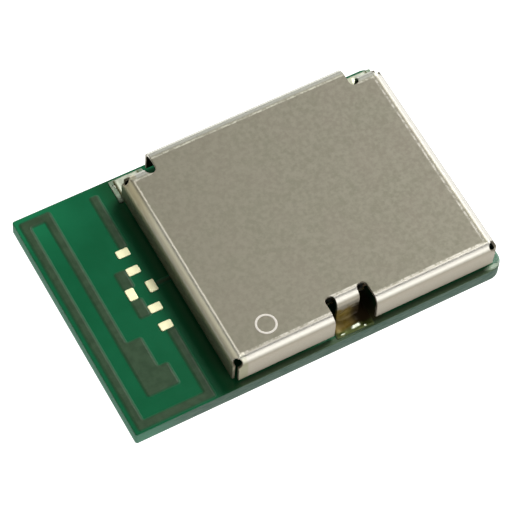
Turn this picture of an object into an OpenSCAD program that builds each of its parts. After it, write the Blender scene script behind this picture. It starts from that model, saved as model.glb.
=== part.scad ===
// Short-range radio module. A printed antenna fills one end of a small circuit board,
// and a folded shielding can covers the radio parts on the rest of it.
// Frame: +X runs along the board towards the shielded end, +Y across it and +Z up,
// with the origin at the centre of the underside. Sizes are in millimetres.

/* [Circuit board] */
// Length of the board
board_l = 15.4; // [14.8:0.1:17]
// Width of the board
board_w = 10; // [9.8:0.1:11.5]
// Thickness of the board
board_t = 0.65; // [0.4:0.05:1.2]
// Radius of the two corners at the shielded end
board_corner_r = 0.55; // [0.1:0.05:1]
// Thickness of the copper on both faces
copper_t = 0.035; // [0.02:0.005:0.07]

/* [Antenna] */
// Length of the open antenna end, up to the can
antenna_l = 4.07; // [3.8:0.01:4.4]
// Width of the antenna's strips
strip_w = 0.32; // [0.25:0.01:0.5]
// Margin from the board's end to the outer strip
strip_margin = 0.19; // [0.1:0.01:0.3]
// Margin from the front edge to the strip along it
strip_front_margin = 0.12; // [0.1:0.01:0.3]
// Margin from the rear edge to the turn of the strips
strip_rear_margin = 0.24; // [0.1:0.01:0.4]
// Width of the feed strip
feed_w = 0.16; // [0.1:0.01:0.3]
// Space between the outer strip and the folded strip beside it
fold_gap = 0.6; // [0.4:0.01:0.7]
// Length of the narrow step of the end patch
patch_step_l = 1.35; // [0.8:0.05:1.6]
// Width of the narrow step of the end patch
patch_step_w = 0.9; // [0.5:0.05:1.1]
// Length of the wide step of the end patch
patch_end_l = 0.95; // [0.5:0.05:1.2]
// Width of the wide step of the end patch
patch_end_w = 1.28; // [1.1:0.01:1.4]
// Space between the end patch and the strip along the front edge
patch_gap = 0.75; // [0.3:0.05:0.9]
// Offset of the rear stub from the strip below the pads
stub_offset = 0.04; // [0:0.01:0.2]
// Margin from the rear edge to the end of the stub
stub_margin = 0.4; // [0.2:0.05:1]

/* [Tuning pads] */
// Long side of a pad
pad_l = 0.52; // [0.4:0.01:0.65]
// Short side of a pad
pad_w = 0.36; // [0.25:0.01:0.45]
// Distance between the two pads of a pair
pad_pitch = 0.83; // [0.7:0.01:0.95]
// Distance from the feed line to each outer pair
pair_pitch = 1.29; // [1.2:0.01:1.5]
// Distance from the antenna end to the outer pairs
pad_x = 3.04; // [2.9:0.01:3.2]
// Offset of the feed pair towards the antenna end
feed_pair_offset = 0.11; // [0:0.01:0.2]
// Offset of the feed line from the board's centre line
feed_y = 0.21; // [-0.3:0.01:0.4]

/* [Shielding can] */
// Height of the can's top face above the board
can_h = 1.35; // [1.2:0.05:2]
// Margin from the can to the board's front and rear edges
can_side_margin = 0.2; // [0.15:0.01:0.4]
// Margin from the can to the board's edge at the shielded end
can_margin = 0.28; // [0.2:0.01:0.6]
// Thickness of the sheet
sheet_t = 0.12; // [0.08:0.01:0.25]
// Inside radius of the bends
bend_r = 0.28; // [0.1:0.01:0.4]
// Clearance between the side walls and the board
wall_gap = 0.2; // [0.05:0.01:0.3]
// Distance from each wall's end to the outer corner
corner_inset = 0.17; // [0.13:0.01:0.35]
// Diameter of the relief hole through each wall's bend at a corner
corner_relief_d = 0.38; // [0.1:0.01:0.5]
// Angle round the bend, from the flat top, to the middle of a relief hole
corner_relief_turn = 45; // [40:1:65]

/* [Solder tabs] */
// Distance that the tabs stand back from the walls
tab_inset = 0.6; // [0.4:0.05:0.8]
// Width of the front tab
front_tab_w = 0.96; // [0.6:0.02:1.3]
// Distance from the can's antenna side to the middle of the front tab
front_tab_x = 5.02; // [3:0.01:8]
// Width of the two tabs at the rear corners
rear_tab_w = 0.835; // [0.5:0.005:1.2]
// Width of the slots beside the tabs
slot_w = 0.38; // [0.3:0.01:0.5]
// Length of the solder land outside a tab
land_out = 0.7; // [0.45:0.01:0.75]
// Length of the solder land inside a tab
land_in = 0.2; // [0.1:0.01:0.3]
// Width of the solder land beyond each side of a tab
land_side = 0.3; // [0.1:0.01:0.4]
// Height of the solder on the tab's face
solder_h = 0.45; // [0.3:0.01:0.6]
// Thickness of the solder at the edge of its land
solder_edge = 0.04; // [0.02:0.01:0.06]

/* [Index mark] */
// Outer diameter of the printed ring
mark_d = 0.83; // [0.6:0.01:1.2]
// Width of the ring's line
mark_line = 0.085; // [0.05:0.005:0.15]
// Thickness of the print
mark_t = 0.01; // [0.005:0.005:0.02]
// Distance from the can's antenna side to the middle of the ring
mark_x = 1.83; // [1.2:0.01:3]
// Distance from the can's front to the middle of the ring
mark_y = 1.05; // [0.9:0.01:3]

/* [Underside lands] */
// Distance between neighbouring lands
land_pitch = 1; // [0.9:0.05:1.1]
// Width of a land along the board's edge
land_w = 0.6; // [0.3:0.05:0.8]
// Length of a land towards the middle
land_l = 0.9; // [0.5:0.05:1.2]
// Margin from the board's edge to the lands
land_margin = 0.15; // [0.05:0.05:0.4]
// Side of a square ground land
ground_side = 1.6; // [1:0.1:1.8]
// Space between neighbouring ground lands
ground_gap = 0.5; // [0.3:0.05:0.8]

/* [Radio chip] */
// Side of the square package
chip_side = 5; // [4.5:0.1:5.5]
// Height of the package
chip_h = 0.85; // [0.6:0.05:0.95]
// Distance between neighbouring leads
lead_pitch = 0.5; // [0.45:0.05:0.65]
// Width of a lead
lead_w = 0.25; // [0.18:0.01:0.3]
// Length of a lead
lead_l = 0.35; // [0.25:0.01:0.45]
// Thickness of the leads and of the heat pad
lead_t = 0.2; // [0.1:0.01:0.25]
// Space between the leads and the heat pad
heat_pad_gap = 0.4; // [0.25:0.05:0.6]

/* [Crystals] */
// Length of both crystals
crystal_l = 2; // [1.8:0.05:2.2]
// Width of the main crystal
crystal_w = 1.6; // [1.4:0.05:1.8]
// Width of the sleep crystal
sleep_w = 1.2; // [1:0.05:1.4]
// Height of a crystal's ceramic base
crystal_base_h = 0.35; // [0.25:0.05:0.5]
// Thickness of a crystal's lid
crystal_lid_t = 0.1; // [0.06:0.01:0.15]
// Rim of the base around the lid
crystal_rim = 0.1; // [0.05:0.01:0.15]
// Side of the terminals under a crystal
crystal_pad = 0.4; // [0.3:0.05:0.5]

/* [Small parts] */
// Length of a small capacitor, resistor or inductor
part_l = 1; // [0.9:0.05:1.1]
// Width of a small part
part_w = 0.5; // [0.4:0.05:0.6]
// Height of a small capacitor or inductor
part_h = 0.5; // [0.4:0.05:0.6]
// Height of a resistor
resistor_h = 0.35; // [0.3:0.05:0.45]
// Length of the metal cap on each end
end_l = 0.25; // [0.15:0.01:0.3]
// Thickness of the metal caps
end_t = 0.02; // [0.01:0.005:0.03]
// Space between neighbouring parts in a row
part_gap = 0.3; // [0.2:0.05:0.5]
// Length of the supply inductor
coil_l = 1.6; // [1.4:0.05:1.8]
// Width and height of the supply inductor
coil_w = 0.8; // [0.7:0.05:0.9]
// Length of the balun filter
balun_l = 2; // [1.8:0.05:2.2]
// Width of the balun filter
balun_w = 1.25; // [1.1:0.05:1.4]
// Height of the balun filter
balun_h = 0.7; // [0.5:0.05:0.9]
// Length of the balun filter's terminals
balun_pad = 0.35; // [0.25:0.01:0.4]
// Margin of a part's land around its terminal
part_land_margin = 0.05; // [0.02:0.01:0.1]

/* [Hidden] */
$fn = 64;
// Overlap of a cutter past the face that it opens
cut = 0.1;

// Levels
board_top = board_t;
seat_z = board_top + copper_t;
can_top = board_top + can_h;
wall_bottom = board_top + wall_gap;
fold_r = bend_r + sheet_t;
corner_reach = fold_r - corner_inset;

// Outline of the board and the can
board_x0 = -board_l / 2;
board_x1 = board_l / 2;
board_y0 = -board_w / 2;
board_y1 = board_w / 2;
can_x0 = board_x0 + antenna_l;
can_x1 = board_x1 - can_margin;
can_x = (can_x0 + can_x1) / 2;
can_l = can_x1 - can_x0;
can_y0 = board_y0 + can_side_margin;
can_y1 = board_y1 - can_side_margin;

// Antenna strips and pads
strip_x0 = board_x0 + strip_margin;
strip_y0 = board_y0 + strip_front_margin;
strip_y1 = board_y1 - strip_rear_margin;
fold_x = strip_x0 + strip_w + fold_gap;
patch_y0 = strip_y0 + strip_w + patch_gap;
patch_y1 = patch_y0 + patch_end_l;
pair_x = board_x0 + pad_x;
feed_pair_x = pair_x - feed_pair_offset;
return_x = pair_x + pad_l / 2 - strip_w;
stub_x = return_x + stub_offset;
link_x0 = feed_pair_x - pad_pitch / 2 - pad_w / 2;
pad_reach = pair_pitch + pad_pitch / 2 + pad_w / 2;

// Tabs: middle, width and outward direction of each
tab_line = can_y1 - tab_inset;
tab_fold = tab_line - fold_r;
tab_x = can_x0 + front_tab_x;
rear_tab_x0 = can_x0 + corner_inset;
rear_tab_x = rear_tab_x0 + rear_tab_w / 2;
rear_slot_x = rear_tab_x0 + rear_tab_w + slot_w / 2;
side_wall_y0 = can_y0 + corner_inset;
side_wall_y1 = tab_line - corner_inset;

// Room for the parts inside the can
in_x0 = can_x0 + sheet_t;
in_x1 = can_x1 - sheet_t;
in_w = 2 * (tab_line - sheet_t - land_in);
column_gap = (in_x1 - in_x0 - part_l - crystal_l - chip_side - part_w) / 5;
row_gap = (in_w - chip_side - 2 * part_w) / 4;
stack_gap = (in_w - coil_w - sleep_w - balun_w - crystal_w) / 5;
match_x = in_x0 + column_gap + part_l / 2;
crystal_x = in_x0 + 2 * column_gap + part_l + crystal_l / 2;
chip_x = crystal_x + crystal_l / 2 + column_gap + chip_side / 2;
side_x = in_x1 - column_gap - part_w / 2;
row_y = chip_side / 2 + row_gap + part_w / 2;
coil_y = -in_w / 2 + stack_gap + coil_w / 2;
sleep_y = coil_y + coil_w / 2 + stack_gap + sleep_w / 2;
balun_y = sleep_y + sleep_w / 2 + stack_gap + balun_w / 2;
crystal_y = balun_y + balun_w / 2 + stack_gap + crystal_w / 2;
row_pitch = part_l + part_gap;
match_pitch = part_w + 2 * part_gap;
row_n = 4;
side_n = 5;

// Leads of the radio chip
lead_n = floor((chip_side - 2 * lead_l - 2 * lead_w) / lead_pitch) + 1;
heat_side = chip_side - 2 * (lead_l + heat_pad_gap);

// Places of the small parts, each [x, y, turn about Z]
row_xs = [for (i = [0:row_n - 1]) chip_x + (i - (row_n - 1) / 2) * row_pitch];
side_ys = [for (i = [0:side_n - 1]) (i - (side_n - 1) / 2) * row_pitch];
match_ys = [for (i = [-2:2]) feed_y + i * match_pitch];
capacitor_places = concat(
    [for (x = row_xs) [x, -row_y, 0]],
    [for (y = side_ys) [side_x, y, 90]],
    [for (i = [0, 3, 4]) [match_x, match_ys[i], 0]]
);
inductor_places = [for (i = [1, 2]) [match_x, match_ys[i], 0]];
resistor_places = [for (x = row_xs) [x, row_y, 0]];
coil_places = [[crystal_x, coil_y, 0]];

// Underside lands
row_land_n = floor((can_l - land_w) / land_pitch);
end_land_n = floor((board_w - 2 * (land_margin + land_l) - land_w) / land_pitch) - 1;
ground_nx = 3;
ground_ny = 2;
ground_pitch = ground_side + ground_gap;

// Block given by its lowest corner and its highest corner
module block(low, high) {
    translate(low) cube(high - low);
}

// Block of size [l, w, h] standing on z, centred on x and y
module standing_block(x, y, z, size) {
    translate([x - size[0] / 2, y - size[1] / 2, z]) cube(size);
}

// Flat copper on the board's top face, from corner to corner
module top_copper(x0, y0, x1, y1) {
    block([x0, y0, board_top], [x1, y1, seat_z]);
}

// Board outline, with round corners at the shielded end
module board_outline() {
    r = board_corner_r;
    difference() {
        translate([board_x0, board_y0]) square([board_l, board_w]);
        for (y = [board_y0, board_y1 - r])
            translate([board_x1 - r, y]) square([r + cut, r]);
    }
    for (y = [board_y0 + r, board_y1 - r])
        translate([board_x1 - r, y]) circle(r);
}

module signal_land_blocks() {
    for (i = [0:row_land_n - 1], side = [-1, 1]) {
        x = can_x + (i - (row_land_n - 1) / 2) * land_pitch;
        y = side * (board_w / 2 - land_margin - land_l / 2);
        standing_block(x, y, 0, [land_w, land_l, copper_t]);
    }
    for (i = [0:end_land_n - 1]) {
        y = (i - (end_land_n - 1) / 2) * land_pitch;
        standing_block(board_x1 - land_margin - land_l / 2, y, 0, [land_l, land_w, copper_t]);
    }
}

module ground_land_blocks() {
    for (i = [0:ground_nx - 1], j = [0:ground_ny - 1]) {
        x = can_x + (i - (ground_nx - 1) / 2) * ground_pitch;
        y = (j - (ground_ny - 1) / 2) * ground_pitch;
        standing_block(x, y, 0, [ground_side, ground_side, copper_t]);
    }
}

// Laminate with green solder mask; the underside lands lie flush in it
module circuit_board() {
    color("seagreen") difference() {
        linear_extrude(board_t) board_outline();
        signal_land_blocks();
        ground_land_blocks();
    }
}

// Masked strip from the last pad round the edge of the board, folded back to the end patch.
// The outline runs along the strip's inner side to the patch and back along its outer side.
module antenna_trace() {
    start_y = feed_y - pad_reach;
    patch_y2 = patch_y1 + patch_step_l;
    w = strip_w;
    color("darkolivegreen") translate([0, 0, board_top]) linear_extrude(copper_t) polygon([
        [return_x + w, start_y], [return_x, start_y],
        [return_x, strip_y0 + w], [strip_x0 + w, strip_y0 + w],
        [strip_x0 + w, strip_y1 - w], [fold_x, strip_y1 - w],
        [fold_x, patch_y0], [fold_x + patch_end_w, patch_y0],
        [fold_x + patch_end_w, patch_y1], [fold_x + patch_step_w, patch_y1],
        [fold_x + patch_step_w, patch_y2], [fold_x + w, patch_y2],
        [fold_x + w, strip_y1], [strip_x0, strip_y1],
        [strip_x0, strip_y0], [return_x + w, strip_y0]
    ]);
}

// Masked strip from the first pad to the rear edge
module ground_stub() {
    color("darkolivegreen")
        top_copper(stub_x, feed_y + pad_reach, stub_x + strip_w, board_y1 - stub_margin);
}

// Masked links between the feed pair and the two outer pairs
module link_traces() {
    inner = pad_l / 2;
    outer = pair_pitch - pad_pitch / 2 + pad_w / 2;
    color("darkolivegreen") {
        top_copper(link_x0, feed_y + inner, pair_x - pad_l / 2, feed_y + outer);
        top_copper(link_x0, feed_y - outer, pair_x - pad_l / 2, feed_y - inner);
    }
}

// Masked strip from the feed pair to the first part under the can
module feed_trace() {
    x0 = feed_pair_x + pad_pitch / 2 + pad_w / 2;
    x1 = match_x - part_l / 2 - part_land_margin;
    color("darkolivegreen")
        top_copper(x0, feed_y - feed_w / 2, x1, feed_y + feed_w / 2);
}

// Three pairs of bare gold-plated pads for tuning parts
module tuning_pads() {
    color("gold") {
        for (pair = [-1, 1], end = [-1, 1]) {
            y = feed_y + pair * pair_pitch + end * pad_pitch / 2;
            standing_block(pair_x, y, board_top, [pad_l, pad_w, copper_t]);
        }
        for (end = [-1, 1])
            standing_block(feed_pair_x + end * pad_pitch / 2, feed_y, board_top, [pad_w, pad_l, copper_t]);
    }
}

// Solder land under one tab; side is -1 at the front and 1 at the rear
module tab_land(x, w, side) {
    y0 = side * (tab_line - sheet_t - land_in);
    y1 = side * (tab_line + land_out);
    top_copper(x - w / 2 - land_side, min(y0, y1), x + w / 2 + land_side, max(y0, y1));
}

module tab_lands() {
    color("goldenrod") {
        tab_land(tab_x, front_tab_w, -1);
        tab_land(rear_tab_x, rear_tab_w, 1);
        tab_land(2 * can_x - rear_tab_x, rear_tab_w, 1);
    }
}

// Folded sheet seen along its fold line: flat top, bend and wall down to the level low.
// The fold starts at x = 0 and the wall's outer face is at x = fold_r.
module fold_profile(low) {
    difference() {
        intersection() {
            translate([0, can_top - fold_r]) circle(fold_r);
            translate([0, can_top - fold_r]) square(fold_r);
        }
        translate([0, can_top - fold_r]) circle(bend_r);
    }
    translate([bend_r, low]) square([sheet_t, can_top - fold_r - low]);
}

// Cut at the corner end of a wall that faces +X: a mitre outwards from the fold corner at the origin,
// and a round relief hole through the bend
module corner_cutter() {
    far = corner_reach + cut;
    linear_extrude(can_top + cut) polygon([[0, 0], [far, far], [0, far]]);
    translate([0, corner_reach, can_top - fold_r]) rotate([0, corner_relief_turn, 0])
        cylinder(d = corner_relief_d, h = fold_r + cut);
}

// Folded wall of length l along Y, centred on y = 0, facing +X.
// corners lists its ends, -1 or 1, that meet another wall at a corner of the can.
module folded_wall(l, low, corners) {
    difference() {
        translate([0, l / 2, 0]) rotate([90, 0, 0]) linear_extrude(l) fold_profile(low);
        for (end = corners)
            mirror([0, end < 0 ? 1 : 0, 0]) translate([0, l / 2 - corner_reach, 0]) corner_cutter();
    }
}

// Flat top of the can, up to the fold lines of the walls and the tabs
module can_plate() {
    notch_w = front_tab_w + 2 * slot_w;
    corner_w = rear_tab_w + slot_w + corner_inset;
    depth = tab_inset;
    low_x = can_x0 + fold_r;
    high_x = can_x1 - fold_r;
    low_y = can_y0 + fold_r;
    high_y = can_y1 - fold_r;
    translate([0, 0, can_top - sheet_t]) linear_extrude(sheet_t) difference() {
        translate([low_x, low_y]) square([high_x - low_x, high_y - low_y]);
        translate([tab_x - notch_w / 2, low_y - cut]) square([notch_w, depth + cut]);
        translate([can_x0, high_y - depth]) square([corner_w, depth + cut]);
        translate([can_x1 - corner_w, high_y - depth]) square([corner_w, depth + cut]);
    }
}

// Slot beside a tab, with a round end at the tab's fold line
module slot_cutter(x, side) {
    r = slot_w / 2;
    reach = can_y1 + cut - tab_fold - r;
    translate([x, side * (tab_fold + r), 0]) linear_extrude(can_top + cut) {
        circle(r);
        translate([-r, side > 0 ? 0 : -reach]) square([slot_w, reach]);
    }
}

// Side wall at the antenna end or the shielded end, facing +X before it is turned
module side_wall() {
    folded_wall(side_wall_y1 - side_wall_y0, wall_bottom, [-1, 1]);
}

// Wall or tab along the front or the rear, from x0 to x1, with its fold at the distance fold
// and its corner ends along X, -1 or 1, in corners
module long_wall(x0, x1, fold, side, low, corners) {
    translate([(x0 + x1) / 2, side * fold, 0]) rotate([0, 0, side * 90])
        folded_wall(x1 - x0, low, [for (end = corners) -side * end]);
}

// Shielding can folded from one sheet: a flat top, walls that stop short of the board,
// and three narrower tabs that stand back from the walls and reach down to their lands
module shield_can() {
    wall_fold = can_y1 - fold_r;
    front_x0 = can_x0 + corner_inset;
    front_x1 = can_x1 - corner_inset;
    notch = front_tab_w / 2 + slot_w;
    rear_slot_reach = rear_slot_x + slot_w / 2;
    side_mid = (side_wall_y0 + side_wall_y1) / 2;
    mirror_x = 2 * can_x;
    color("darkkhaki") difference() {
        union() {
            can_plate();
            translate([can_x1 - fold_r, side_mid, 0]) side_wall();
            translate([can_x0 + fold_r, side_mid, 0]) rotate([0, 0, 180]) side_wall();
            long_wall(front_x0, tab_x - notch, wall_fold, -1, wall_bottom, [-1]);
            long_wall(tab_x + notch, front_x1, wall_fold, -1, wall_bottom, [1]);
            long_wall(tab_x - notch, tab_x + notch, tab_fold, -1, seat_z, []);
            long_wall(rear_slot_reach, mirror_x - rear_slot_reach, wall_fold, 1, wall_bottom, []);
            long_wall(rear_tab_x0, rear_slot_reach, tab_fold, 1, seat_z, [-1]);
            long_wall(mirror_x - rear_slot_reach, mirror_x - rear_tab_x0, tab_fold, 1, seat_z, [1]);
        }
        for (side = [-1, 1])
            slot_cutter(tab_x + side * (front_tab_w + slot_w) / 2, -1);
        slot_cutter(rear_slot_x, 1);
        slot_cutter(mirror_x - rear_slot_x, 1);
    }
}

// Solder on a tab's land, with a hollow fillet up the tab's outer face
module tab_solder(x, w, side) {
    hollow_r = solder_h - solder_edge;
    pool_w = w + 2 * land_side;
    translate([x, side * tab_line, seat_z]) rotate([0, 0, side * 90]) {
        difference() {
            translate([0, -w / 2, 0]) cube([solder_h, w, solder_h]);
            translate([solder_h, 0, solder_h]) rotate([90, 0, 0])
                cylinder(r = hollow_r, h = w + 2 * cut, center = true);
        }
        translate([0, -pool_w / 2, 0]) cube([land_out, pool_w, solder_edge]);
    }
}

module front_tab_solder() {
    color("olive") tab_solder(tab_x, front_tab_w, -1);
}

module rear_left_tab_solder() {
    color("gainsboro") tab_solder(rear_tab_x, rear_tab_w, 1);
}

module rear_right_tab_solder() {
    color("gainsboro") tab_solder(2 * can_x - rear_tab_x, rear_tab_w, 1);
}

// White ring printed on the can beside the first land
module index_mark() {
    color("white") translate([can_x0 + mark_x, can_y0 + mark_y, can_top]) difference() {
        cylinder(d = mark_d, h = mark_t);
        translate([0, 0, -cut]) cylinder(d = mark_d - 2 * mark_line, h = mark_t + 2 * cut);
    }
}

// Leads round the chip's lower edge; grow widens them for their lands
module lead_blocks(height, grow) {
    for (turn = [0:90:270]) rotate([0, 0, turn])
        for (i = [0:lead_n - 1]) {
            y = (i - (lead_n - 1) / 2) * lead_pitch;
            block(
                [chip_side / 2 - lead_l - grow, y - lead_w / 2 - grow, 0],
                [chip_side / 2 + grow, y + lead_w / 2 + grow, height]
            );
        }
}

// Moulded package; its leads and heat pad lie flush in its underside
module radio_chip() {
    color("dimgray") translate([chip_x, 0, seat_z]) difference() {
        standing_block(0, 0, 0, [chip_side, chip_side, chip_h]);
        lead_blocks(lead_t, 0);
        standing_block(0, 0, 0, [heat_side, heat_side, lead_t]);
    }
}

module chip_leads() {
    color("silver") translate([chip_x, 0, seat_z]) lead_blocks(lead_t, 0);
}

module chip_heat_pad() {
    color("silver") standing_block(chip_x, 0, seat_z, [heat_side, heat_side, lead_t]);
}

module crystal_base(y, w) {
    color("lightgray") standing_block(crystal_x, y, seat_z, [crystal_l, w, crystal_base_h]);
}

module crystal_lid(y, w) {
    size = [crystal_l - 2 * crystal_rim, w - 2 * crystal_rim, crystal_lid_t];
    color("khaki") standing_block(crystal_x, y, seat_z + crystal_base_h, size);
}

module main_crystal_base() {
    crystal_base(crystal_y, crystal_w);
}

module main_crystal_lid() {
    crystal_lid(crystal_y, crystal_w);
}

module sleep_crystal_base() {
    crystal_base(sleep_y, sleep_w);
}

module sleep_crystal_lid() {
    crystal_lid(sleep_y, sleep_w);
}

// Terminals under the filter, three along each long side
module balun_pads(height, grow) {
    size = [balun_pad + 2 * grow, balun_pad + 2 * grow, height];
    for (i = [-1:1], side = [-1, 1])
        standing_block(
            crystal_x + i * (balun_l - balun_pad) / 2,
            balun_y + side * (balun_w - balun_pad) / 2, 0, size
        );
}

module balun_filter() {
    color("whitesmoke") difference() {
        standing_block(crystal_x, balun_y, seat_z, [balun_l, balun_w, balun_h]);
        translate([0, 0, seat_z]) balun_pads(copper_t, 0);
    }
}

module balun_terminals() {
    color("silver") translate([0, 0, seat_z]) balun_pads(copper_t, 0);
}

// Core of a small part that runs into its two metal caps
module part_cores(places, size, shade) {
    color(shade) for (p = places)
        translate([p[0], p[1], seat_z + end_t]) rotate([0, 0, p[2]])
            standing_block(0, 0, 0, size - 2 * end_t * [1, 1, 1]);
}

// Metal caps on both ends of a small part
module part_ends(places, size) {
    inner = size - 2 * end_t * [1, 1, 1];
    color("silver") for (p = places)
        translate([p[0], p[1], seat_z]) rotate([0, 0, p[2]]) difference() {
            for (side = [-1, 1])
                standing_block(side * (size[0] - end_l) / 2, 0, 0, [end_l, size[1], size[2]]);
            standing_block(0, 0, end_t, inner);
        }
}

// Copper lands under the two caps of a small part
module part_end_lands(places, size) {
    land = [end_l + 2 * part_land_margin, size[1] + 2 * part_land_margin, copper_t];
    for (p = places)
        translate([p[0], p[1], board_top]) rotate([0, 0, p[2]])
            for (side = [-1, 1])
                standing_block(side * (size[0] - end_l) / 2, 0, 0, land);
}

part_size = [part_l, part_w, part_h];
resistor_size = [part_l, part_w, resistor_h];
coil_size = [coil_l, coil_w, coil_w];

// Copper lands on the board under the parts in the can
module component_lands() {
    color("goldenrod") {
        part_end_lands(concat(capacitor_places, inductor_places, resistor_places), part_size);
        part_end_lands(coil_places, coil_size);
        for (i = [-1, 1], j = [-1, 1], c = [[crystal_y, crystal_w], [sleep_y, sleep_w]])
            standing_block(
                crystal_x + i * (crystal_l - crystal_pad) / 2, c[0] + j * (c[1] - crystal_pad) / 2,
                board_top, [crystal_pad, crystal_pad, copper_t]
            );
        translate([0, 0, board_top]) balun_pads(copper_t, part_land_margin);
        translate([chip_x, 0, board_top]) lead_blocks(copper_t, part_land_margin);
        standing_block(chip_x, 0, board_top, [heat_side, heat_side, copper_t]);
    }
}

// Flush solder lands under the front, rear and shielded edges
module signal_lands() {
    color("gold") signal_land_blocks();
}

// Flush ground lands under the middle of the can
module ground_lands() {
    color("gold") ground_land_blocks();
}

module supply_inductor() {
    part_cores(coil_places, coil_size, "darkslategray");
}

module supply_inductor_ends() {
    part_ends(coil_places, coil_size);
}

module matching_inductors() {
    part_cores(inductor_places, part_size, "lightsteelblue");
}

module matching_inductor_ends() {
    part_ends(inductor_places, part_size);
}

module capacitors() {
    part_cores(capacitor_places, part_size, "burlywood");
}

module capacitor_ends() {
    part_ends(capacitor_places, part_size);
}

module resistors() {
    part_cores(resistor_places, resistor_size, "black");
}

module resistor_ends() {
    part_ends(resistor_places, resistor_size);
}

circuit_board();
antenna_trace();
ground_stub();
link_traces();
feed_trace();
tuning_pads();
tab_lands();
component_lands();
signal_lands();
ground_lands();
shield_can();
front_tab_solder();
rear_left_tab_solder();
rear_right_tab_solder();
index_mark();
radio_chip();
chip_leads();
chip_heat_pad();
main_crystal_base();
main_crystal_lid();
sleep_crystal_base();
sleep_crystal_lid();
balun_filter();
balun_terminals();
supply_inductor();
supply_inductor_ends();
matching_inductors();
matching_inductor_ends();
capacitors();
capacitor_ends();
resistors();
resistor_ends();
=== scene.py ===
import math

import bpy
import numpy as np
from mathutils import Matrix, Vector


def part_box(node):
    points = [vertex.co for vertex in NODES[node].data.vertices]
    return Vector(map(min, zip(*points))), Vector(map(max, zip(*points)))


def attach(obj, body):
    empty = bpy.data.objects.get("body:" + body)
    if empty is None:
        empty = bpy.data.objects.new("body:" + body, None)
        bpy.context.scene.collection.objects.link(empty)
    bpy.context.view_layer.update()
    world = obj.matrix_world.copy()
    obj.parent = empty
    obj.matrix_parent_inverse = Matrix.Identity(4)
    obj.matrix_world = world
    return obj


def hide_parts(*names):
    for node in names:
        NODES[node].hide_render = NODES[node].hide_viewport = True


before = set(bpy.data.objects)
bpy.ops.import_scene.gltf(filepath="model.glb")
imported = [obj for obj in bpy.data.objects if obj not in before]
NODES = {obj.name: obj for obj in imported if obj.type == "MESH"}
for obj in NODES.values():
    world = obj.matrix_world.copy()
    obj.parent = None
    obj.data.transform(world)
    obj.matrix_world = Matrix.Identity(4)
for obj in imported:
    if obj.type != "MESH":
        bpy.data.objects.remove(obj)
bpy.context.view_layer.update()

MM = 0.001


# Sizes in millimetres, in the part's own frame


def box_mm(node):
    """Low and high ends of a CAD node's box along X, Y and Z, in millimetres to four places."""
    return [tuple(round(end / MM, 4) for end in ends) for ends in zip(*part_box(node))]


def middle(low, high):
    return round((low + high) / 2, 4)


BOARD_X, BOARD_Y, (_, BOARD_TOP) = box_mm("circuit_board")
ROUND_CORNER = 0.55
SHARP_CORNER = 0.1

CAN_X, (_, CAN_Y), (_, CAN_TOP) = box_mm("shield_can")
CAN_MID = middle(*CAN_X)
WALL_GAP = 0.2
WALL_LOW = BOARD_TOP + WALL_GAP
SHEET = 0.12
SHEET_EDGE = 0.03
BEND_IN = 0.28
BEND_OUT = BEND_IN + SHEET
BEND_S = BEND_OUT * math.pi / 2
FOLD_LEFT = CAN_X[0] + BEND_OUT
FOLD_RIGHT = CAN_X[1] - BEND_OUT
FOLD_WALL = CAN_Y - BEND_OUT
SLOT_R = 0.19
RELIEF_R = 0.19
RELIEF_S = BEND_OUT * math.radians(45)

_, (_, LAND_END), (_, COPPER_TOP) = box_mm("tab_lands")
LAND_SIDE = 0.3
LAND_UNDER = 0.2


def tab_at(node):
    """Middle and width of a tab, from the box of its solder, which is wider by the land's margins."""
    x = box_mm(node)[0]
    return middle(*x), round(x[1] - x[0] - 2 * LAND_SIDE, 4)


FRONT_TAB, FRONT_TAB_W = tab_at("front_tab_solder")
REAR_LEFT_TAB, REAR_TAB_W = tab_at("rear_left_tab_solder")
REAR_RIGHT_TAB = tab_at("rear_right_tab_solder")[0]
TAB_FACE = box_mm("rear_left_tab_solder")[1][0]
FOLD_TAB = TAB_FACE - BEND_OUT
LAND_IN = TAB_FACE - SHEET - LAND_UNDER
FRONT_SLOTS = [round(FRONT_TAB + side * (FRONT_TAB_W / 2 + SLOT_R), 4) for side in (-1, 1)]
REAR_SLOTS = [round(REAR_LEFT_TAB + REAR_TAB_W / 2 + SLOT_R, 4),
              round(REAR_RIGHT_TAB - REAR_TAB_W / 2 - SLOT_R, 4)]
CORNER_INSET = round(REAR_LEFT_TAB - REAR_TAB_W / 2 - CAN_X[0], 4)
CORNER_REACH = BEND_OUT - CORNER_INSET


# Meshes


def unit(vectors):
    """Vectors made one long."""
    return vectors / np.maximum(np.linalg.norm(vectors, axis=-1, keepdims=True), 1e-9)


def new_object(name, data):
    """New object in the scene."""
    made = bpy.data.objects.new(name, data)
    bpy.context.scene.collection.objects.link(made)
    return made


def joined(points, quads):
    """Joins points that are the same to five places; a quad that loses a side by it becomes a triangle."""
    key = np.round(points, 5)
    _, first, where = np.unique(key, axis=0, return_index=True, return_inverse=True)
    where = where.reshape(-1)
    quads = where[quads]
    same = quads == np.roll(quads, -1, axis=1)
    lost = same.sum(axis=1)
    faces = quads[lost == 0].tolist()
    for side in range(4):
        rows = (lost == 1) & same[:, side]
        faces += np.delete(quads[rows], side, axis=1).tolist()
    return first, where, faces


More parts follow.
